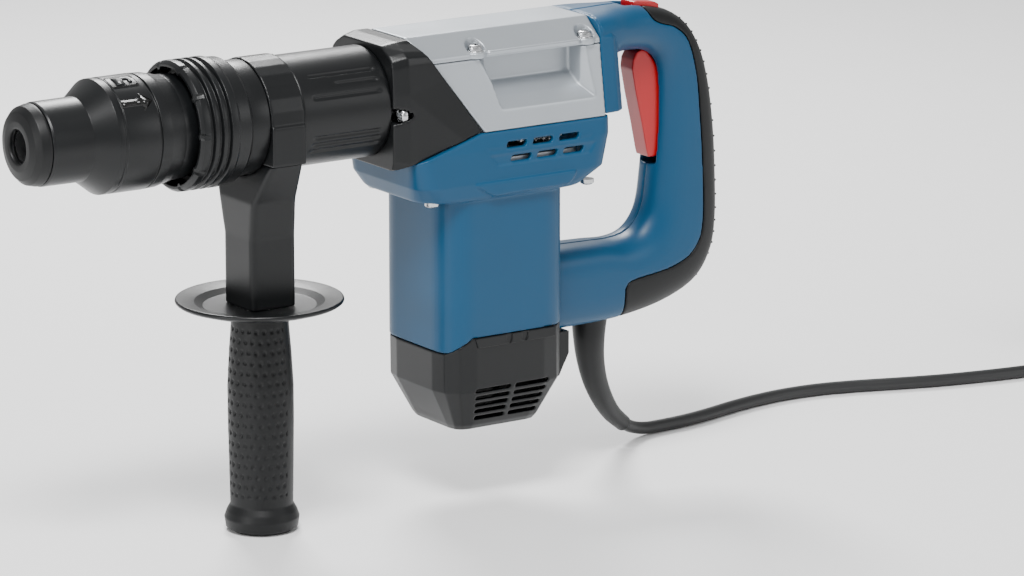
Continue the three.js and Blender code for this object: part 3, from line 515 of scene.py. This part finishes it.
# ---------------------------------------------------------------- side handle
def build_side_handle():
    hand_over(moulded(copy_of("handle_clamp", "clamp_band"), 0.7, 3), "side_handle", BLACK, "black_plastic",
              "handle_clamp")
    neck = moulded(copy_of("handle_neck", "handle_neck_moulded"), 0.8, 8)
    hand_over(neck, "side_handle", BLACK, "black_plastic", "handle_neck")
    guard = softened([
        (GUARD_Z - 5.5, 4.5), (GUARD_Z - 5.5, 22), (GUARD_Z - 3, 38), (GUARD_Z, 47.5), (GUARD_Z + 1.4, 49.4),
        (GUARD_Z + 3.2, 48.7), (GUARD_Z + 1.2, 38), (GUARD_Z - 1.3, 33), (GUARD_Z - 1.3, 4.5),
    ], 1.2)
    hand_over(spun("guard_disc", guard, "z", HANDLE_X, sides=200), "side_handle", BLACK, "black_plastic",
              "handle_guard")

    shape = [
        (GRIP_FOOT_Z, 17.5), (-244.5, 21.2), (-239, 22), (-235, 20.6), (-231, 18.4), (-214, 18.7), (-180, 19.3),
        (-160, 19.3), (-140, 18.2), (-125, 17), (GRIP_TOP_Z, 16.6),
    ]
    profile = [(GRIP_FOOT_Z, 0.0)]
    for (a, ra), (b, rb) in zip(shape, shape[1:]):
        steps = max(1, round((b - a) / 0.7))
        profile += [(a + (b - a) * k / steps, ra + (rb - ra) * k / steps) for k in range(steps)]
    profile += [shape[-1], (GRIP_TOP_Z, GRIP_BORE_R), (GRIP_BOLT_Z, GRIP_BORE_R), (GRIP_BOLT_Z, 0.0)]

    def dimples(along, angle):
        # Staggered dimples cover the front and the left of the grip.
        low, high, row_pitch, pitch, radius = -224, -124, 6.2, 15, 19
        side = (math.degrees(angle) - 112) % 360
        if not (low < along < high) or side > 180:
            return 0
        row = round((along - low) / row_pitch)
        shift = pitch / 2 if row % 2 else 0
        off_z = along - low - row * row_pitch
        off_a = ((side - shift + pitch / 2) % pitch - pitch / 2) * math.pi / 180 * radius
        return -0.85 * max(0, 1 - (off_z ** 2 + off_a ** 2) / 2.6)

    hand_over(spun("side_grip_dimpled", profile, "z", HANDLE_X, sides=320, closed=False, relief=dimples), "grip",
              RUBBER, "black_rubber", "side_grip")


# ---------------------------------------------------------------- gearbox
def build_gearbox():
    for node, name, material, slot, voxel in (
        ("gearbox_front", "gearbox_front_cast", BLACK, "black_plastic", 0.7),
        ("gearbox_housing", "gearbox_case_cast", SILVER, "cast_alloy", 0.7),
        ("gearbox_lid", "gearbox_lid_cast", SILVER, "cast_alloy", 0.6),
    ):
        hand_over(moulded(copy_of(node, name), voxel, 4), "frame", material, slot, node)


def screw(name, node, axis, facing):
    """A pan-head screw with a six-lobed socket, in place of a CAD screw. Its head faces +axis or -axis."""
    low, high = [(corner - at(0, 0, 0)) / MM for corner in map(Vector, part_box(node))]
    across = "xyz".index(axis)
    others = [i for i in range(3) if i != across]
    middle = (low + high) / 2
    radius = (high[others[0]] - low[others[0]]) / 2
    face = high[across] if facing > 0 else low[across]
    profile = [(0, 0.55), (0.35, 0.8), (1.1, 0.97), (1.7, 1), (3.4, 1)]
    star = []
    for i in range(48):
        a = 2 * math.pi * i / 48
        r = radius * (0.5 + 0.08 * math.cos(6 * a))
        star.append((r * math.cos(a), r * math.sin(a)))

    def place(along, u, v):
        point = [0, 0, 0]
        point[across] = face - facing * along
        point[others[0]] = middle[others[0]] + u
        point[others[1]] = middle[others[1]] + v
        return tuple(point)

    head = loft(name, [[place(along, share * radius * c, share * radius * s) for c, s in circle(48)]
                       for along, share in profile])
    socket = loft("socket", [[place(along, u, v) for u, v in star] for along in (-1, 1.6)])
    hand_over(crisp(carve(head, [socket])), "frame", STEEL, "steel", node)


def build_screws():
    for i in range(1, 5):
        screw(f"lid_screw_head_{i}", f"lid_screw_{i}", "z", 1)
        screw(f"motor_screw_head_{i}", f"motor_screw_{i}", "z", -1)
    for side in ("left", "right"):
        screw(f"front_screw_head_{side}", f"front_screw_{side}", "x", -1)


def add_lid_ridges():
    """The rod-like ridge between the lid's screw bosses, on each side."""
    for side in (-1, 1):
        path = [(x, side * 31.2, 25.4) for x in range(294, 361, 3)]
        ridge = tube("lid_ridge", path, [1.6] * len(path))
        hand_over(ridge, "frame", SILVER, "cast_alloy")
        for x in LID_SCREW_X:
            washer = [(0, 3), (0, 5.4), (0.6, 5.4), (0.9, 5), (0.9, 3)]
            washer = [(LID_TOP_Z + rise, radius) for rise, radius in washer]
            seat = spun("lid_screw_washer", washer, "z", x, side * LID_SCREW_Y, sides=64)
            hand_over(seat, "frame", STEEL, "steel")


# ---------------------------------------------------------------- motor
def vents():
    """Two rows of three leaning slots in a shallow recess, on both sides."""
    cutters = []
    for side in (-1, 1):
        near, far = sorted((34 * side, 50 * side))
        for start, z in ((302, -30.4), (305, -38.6)):
            for x in (start, start + 18.5, start + 37):
                lean = [(x, z), (x + 14, z), (x + 15.5, z + 3.6), (x + 1.5, z + 3.6)]
                cutters.append(prism_y("vent", lean, near, far))
        near, far = sorted((40.2 * side, 50 * side))
        cutters.append(prism_y("recess", [(290, -32), (362, -32), (370, -25.2), (284, -25.2)], near, far))
        cutters.append(prism_y("recess_low", [(296, -40.2), (361, -40.2), (366, -33.6), (290, -33.6)], near, far))
    return cutters


def flare_lips():
    """The curved lip low on each side of the flare."""
    lips = []
    for side in (-1, 1):
        near, far = sorted((38 * side, 42.3 * side))
        outline = rounded([(279, -49, 1), (352, -49, 2), (346, -56.5, 5), (292, -57.5, 8)], 6)
        lips.append(prism_y("lip", outline, near, far))
    return lips


def build_motor():
    x0, x1 = MOTOR_X - MOTOR_HALF_X, MOTOR_X + MOTOR_HALF_X
    lower = plan(x0, x1, MOTOR_HALF_Y, MOTOR_CORNER)
    outer = loft("motor_shell", [
        loop_z(-160, lower), loop_z(-59.5, lower), loop_z(-58.6, plan(247.5, 362.5, 40.0, 21)),
        loop_z(-57, plan(246, 364, 40.6, 20)), loop_z(-49, plan(242, 375, 41.2, 14)),
        loop_z(-30, plan(240, 378.3, 40.4, 10)), loop_z(-20, plan(238, 378.3, 38.9, 8)),
    ])
    low_in = plan(x0 + MOTOR_WALL, x1 - MOTOR_WALL, MOTOR_HALF_Y - MOTOR_WALL, MOTOR_CORNER - MOTOR_WALL)
    inner = loft("hollow", [
        loop_z(-161, low_in), loop_z(-56.6, low_in), loop_z(-56, plan(251, 372, 37, 16)),
        loop_z(-19, plan(244, 375, 35.6, 8)),
    ])
    above = prism_y("above", [(200, -45.3), (286, -20), (420, -20), (420, 20), (200, 20)], -60, 60)
    below = prism_y("below", [(200, -151), (266, -151), (280, -142), (420, -142), (420, -260), (200, -260)], -60, 60)
    seats = [disc_z("seat", -70, -57, 5, x, y) for x, y in FLARE_SCREWS]
    holes = [disc_z("hole", -70, -45, 2.7, x, y) for x, y in FLARE_SCREWS]
    outer = carve(outer, flare_lips(), "UNION")
    shell = carve(outer, [inner, above, below, *seats, *holes, *vents()])
    hand_over(moulded(shell, 0.7, 3), "frame", BLUE, "blue_plastic", "motor_housing")
    hand_over(moulded(copy_of("end_cap", "end_cap_moulded"), 0.6, 3), "frame", BLACK, "black_plastic", "end_cap")
    for side in (-1, 1):
        near, far = sorted((37 * side, 39.3 * side))
        outline = rounded([(283, -148.5, 1), (338, -148.5, 1), (338, -142.6, 0.6), (281, -142.6, 0.6)], 3)
        band = prism_y("cap_band", outline, near, far)
        near, far = sorted((38.2 * side, 42 * side))
        notches = [prism_y("notch", [(x, -141), (x + 4, -141), (x + 4, -146), (x + 2, -149.5), (x, -146)], near, far)
                   for x in (303, 314)]
        band = moulded(carve(band, notches), 0.35, 3)
        hand_over(band, "frame", BLACK, "black_plastic")


# ---------------------------------------------------------------- rear handle
# Stations down the handle's sweep: its inner edge and outer edge as (x, z), and its half width.
STATIONS = [
    ((374.2, 8), (374.2, 38), 32), ((388, 9.5), (388, 38.3), 28), ((400, 10.5), (401, 38.6), 23.5),
    ((412, 10.5), (415, 38.2), 20), ((421, 9), (434, 34.6), 18), ((427.5, 4.5), (451, 25.5), 17.2),
    ((431, -4), (463, 9), 16.6), ((432, -20), (470.5, -14), 16.2), ((431.5, -45), (475, -44), 16.2),
    ((429, -68), (476.8, -72), 16.4), ((426.5, -85), (477, -98), 17), ((422, -95), (473.5, -119), 17.6),
    ((414, -102), (461.5, -136.5), 18.2), ((402, -104.5), (437, -147.5), 19), ((388, -104.5), (402, -152.5), 19.6),
    ((368, -104), (370, -153.5), 20.2), ((352.5, -104), (352.5, -153.5), 20.6),
]
# The line between the blue halves and the rubber pad, and the corners that close the region behind it.
GRIP_EDGE = [
    (418, 60), (419.5, 37), (422, 30.5), (428, 26.6), (440, 22.6), (450, 13), (456.5, -9), (459, -31), (461, -60),
    (461.5, -98), (455, -115), (441, -123), (425, -126), (407, -128.5), (402.5, -133),
    (402.5, -180), (500, -180), (500, 60),
]
BUTTON_SLOT = (408, 438, -7.4, 7.4, 33, 45)
TRIGGER_SLOT = (410, 442.5, -7.6, 7.6, -62, 15)


def handle_sweep(name, inset=0.0, half_count=28):
    """The handle's whole loop, with a rounded section that is squarer at both ends."""
    loops = []
    for station, (inner, outer, half_y) in enumerate(STATIONS):
        along = Vector((outer[0] - inner[0], outer[1] - inner[1]))
        reach = along.length / 2
        unit = along.normalized()
        middle = ((inner[0] + outer[0]) / 2, (inner[1] + outer[1]) / 2)
        power = 2 / (3.6 if station < 2 or station > 13 else 2.7)
        loop = []
        for i in range(2 * half_count):
            a = i / half_count * math.pi
            c, s = math.cos(a), math.sin(a)
            r = math.copysign(abs(c) ** power, c) * (reach - inset)
            y = math.copysign(abs(s) ** power, s) * (half_y - inset)
            loop.append((middle[0] + unit[0] * r, y, middle[1] + unit[1] * r))
        loops.append(loop)
    return loft(name, blended(loops, 5))


def grip_prism(name, shift):
    """The region behind the pad's front edge, with that edge moved back by shift."""
    edge = smooth_path([(x + shift, z, 0) for x, z in GRIP_EDGE[1:-3]], 5)
    outline = [GRIP_EDGE[0]] + [(x, z) for x, z, _ in edge] + GRIP_EDGE[-3:]
    return prism_y(name, outline, -60, 60)


def add_grip_dots():
    """A row of small raised dots down each side of the grip's back."""
    spacing, offset_y, dot_radius = 6.5, 9.5, 0.7
    made = bmesh.new()
    stations = blended([[(*outer, half_y), (*inner, half_y)] for inner, outer, half_y in STATIONS[4:13]], 6)
    walked = 0
    last = None
    for (outer_x, outer_z, half_y), (inner_x, inner_z, _) in stations:
        outer, inner = Vector((outer_x, outer_z)), Vector((inner_x, inner_z))
        walked += (outer - last).length if last else 0
        last = outer
        if walked < spacing:
            continue
        walked = 0
        reach = (outer - inner).length / 2
        for side in (-1, 1):
            s = (offset_y / half_y) ** (2.7 / 2)
            r = math.sqrt(1 - s * s) ** (2 / 2.7) * reach
            spot = (outer + inner) / 2 + (outer - inner).normalized() * r
            dot = bmesh.ops.create_icosphere(made, subdivisions=2, radius=dot_radius * MM)
            bmesh.ops.translate(made, verts=dot["verts"], vec=at(spot.x, side * offset_y, spot.y))
    data = bpy.data.meshes.new("grip_dots")
    made.to_mesh(data)
    made.free()
    dots = bpy.data.objects.new("grip_dots", data)
    bpy.context.collection.objects.link(dots)
    hand_over(dots, "frame", RUBBER, "black_rubber")


def build_handle():
    rubber = carve(handle_sweep("grip_rubber"), [grip_prism("grip_region", 0.3)], "INTERSECT")
    rubber = carve(rubber, [handle_sweep("core", 3.3), block("top_slot", *BUTTON_SLOT)])
    hand_over(moulded(rubber, 0.8, 5), "frame", RUBBER, "black_rubber", "handle_grip")
    add_grip_dots()
    for side, node in ((-1, "handle_shell_left"), (1, "handle_shell_right")):
        shell = carve(handle_sweep("handle_half"), [grip_prism("grip_region", -0.3)])
        shell = carve(shell, [handle_sweep("core", 3.6)], "UNION")
        shell = carve(shell, [
            block("half", 300, 520, *sorted((-0.15 * -side, 80 * -side)), -200, 80),
            block("front_end", 330, 376, -60, 60, -60, 80),
            block("motor_side", 300, 349.3, -60, 60, -170, -90),
            block("trigger_slot", *TRIGGER_SLOT),
            block("button_slot", *BUTTON_SLOT),
            disc_z("sleeve_bore", -170, -135, 12, 389),
        ])
        moulded(shell, 0.8, 5)
        shell.name = f"{node}_moulded"
        bracket = copy_of(node, "bracket")
        carve(bracket, [
            block("keep_off", 391, 520, -80, 80, -200, 80),
            block("low", 300, 520, -80, 80, -200, -70),
        ])
        moulded(bracket, 0.8, 4)
        bracket.name = f"{node}_bracket"
        hand_over(bracket, "frame", BLUE, "blue_plastic")
        hand_over(shell, "frame", BLUE, "blue_plastic", node)


def build_trigger():
    hand_over(moulded(copy_of("trigger", "trigger_moulded"), 0.5, 8), "trigger_body", RED, "red_plastic", "trigger")
    hand_over(moulded(copy_of("lock_button", "lock_button_moulded"), 0.35, 5), "lock_body", RED, "red_plastic",
              "lock_button")


# ---------------------------------------------------------------- cord
SLEEVE_ROUTE = [
    (389, 0, -150), (389.3, 1, -163), (393, 5, -178), (400, 10.5, -194), (410, 17, -209), (423, 25.5, -222.5),
    (438, 34.5, -233.5),
]
FLOOR_ROUTE = [
    (475, 44.5), (494, 46), (514, 50), (535, 55.5), (558, 60), (582, 62), (607, 60), (632, 53.5), (657, 44.5),
    (684, 35.5), (712, 28.5), (742, 23), (772, 19.2), (802, 18), (836, 18),
]
CORD_ROUTE = [(438.9, 35, -234.1), (449, 39.5, -239), (461, 43, -242.2)]
CORD_ROUTE += [(x, y, CORD_REST_Z) for x, y in FLOOR_ROUTE]


def smooth_path(points, steps):
    """More points between those given, on a smooth curve."""
    return [loop[0] for loop in blended([[p] for p in points], steps)]


def coil_path():
    """Turns beside and on each other: out to in on one layer, in to out on the next."""
    columns, layers, per_turn = 3, 4, 48
    places = []
    for layer in range(layers):
        order = range(columns) if layer % 2 == 0 else reversed(range(columns))
        places += [(COIL_R + CORD_D * (1 - column), layer * CORD_D) for column in order]
    points = []
    for turn, (radius, height) in enumerate(places):
        after = places[min(turn + 1, len(places) - 1)]
        for i in range(per_turn):
            t = max(0, (i / per_turn - 0.8) / 0.2)
            ease = t * t * (3 - 2 * t)
            r = radius + (after[0] - radius) * ease
            z = CORD_REST_Z + height + (after[1] - height) * ease
            a = math.radians(-90) + 2 * math.pi * i / per_turn
            points.append((COIL_X + r * math.cos(a), COIL_Y + r * math.sin(a), z))
    return points


def tail_path():
    """From the coil's last turn down over its side to the plug."""
    outer = COIL_R + CORD_D
    top = CORD_REST_Z + 3 * CORD_D
    points = []
    for degrees, out, drop in ((-90, 0, 0), (-70, 2, 4), (-45, 7, 16), (-20, 14, 24), (0, 18, 24)):
        a = math.radians(degrees)
        points.append((COIL_X + (outer + out) * math.cos(a), COIL_Y + (outer + out) * math.sin(a), top - drop))
    return smooth_path(points, 5)


def tube(name, path, radii, sides=24):
    """A round skin along a path, with one radius for each of its points."""
    loops = []
    side = Vector((0, 1, 0))
    for i, point in enumerate(path):
        here = Vector(point)
        ahead = (Vector(path[min(i + 1, len(path) - 1)]) - Vector(path[max(i - 1, 0)])).normalized()
        side = (side - ahead * side.dot(ahead)).normalized()
        up = ahead.cross(side)
        loops.append([tuple(here + radii[i] * (side * c + up * s)) for c, s in circle(sides)])
    return loft(name, loops)


def build_cord():
    centre = smooth_path(SLEEVE_ROUTE, 10)
    radii = []
    for i in range(len(centre)):
        t = i / (len(centre) - 1)
        radii.append(11.4 - 6.3 * min(1, t * 1.05) ** 0.8)
    sleeve = hand_over(tube("cable_sleeve_moulded", centre, radii, 40), "frame", RUBBER, "black_rubber",
                       "cable_sleeve")
    plug = hand_over(moulded(copy_of("plug", "plug_moulded"), 0.5, 4), "frame", RUBBER, "black_rubber", "plug")
    tie = hand_over(moulded(copy_of("coil_tie", "coil_tie_strap"), 0.4, 3), "frame", BLACK, "black_plastic",
                    "coil_tie")
    path = smooth_path(CORD_ROUTE, 6) + coil_path() + tail_path()
    curve = bpy.data.curves.new("mains_cord", "CURVE")
    curve.dimensions = "3D"
    curve.bevel_depth = (CORD_D / 2 - 0.1) * MM
    curve.bevel_resolution = 5
    curve.use_fill_caps = True
    spline = curve.splines.new("POLY")
    spline.points.add(len(path) - 1)
    for target, point in zip(spline.points, path):
        target.co = (*at(*point), 1)
    cord = bpy.data.objects.new("mains_cord", curve)
    bpy.context.collection.objects.link(cord)
    hand_over(cord, "frame", LEAD, "black_rubber", "cord", "cord_coil")


def finish_carried_nodes():
    """Every CAD node that still shows gets the finish of its slot."""
    for part in frame["record"]["subparts"]:
        node = frame["nodes"][part["node"]]
        node.data.materials.clear()
        node.data.materials.append(FINISH[part["material_slot"]])


add_camera()
add_studio()
finish_carried_nodes()
build_cord()
build_chuck()
build_spring()
build_barrel()
build_side_handle()
build_gearbox()
build_screws()
add_lid_ridges()
build_motor()
build_handle()
build_trigger()
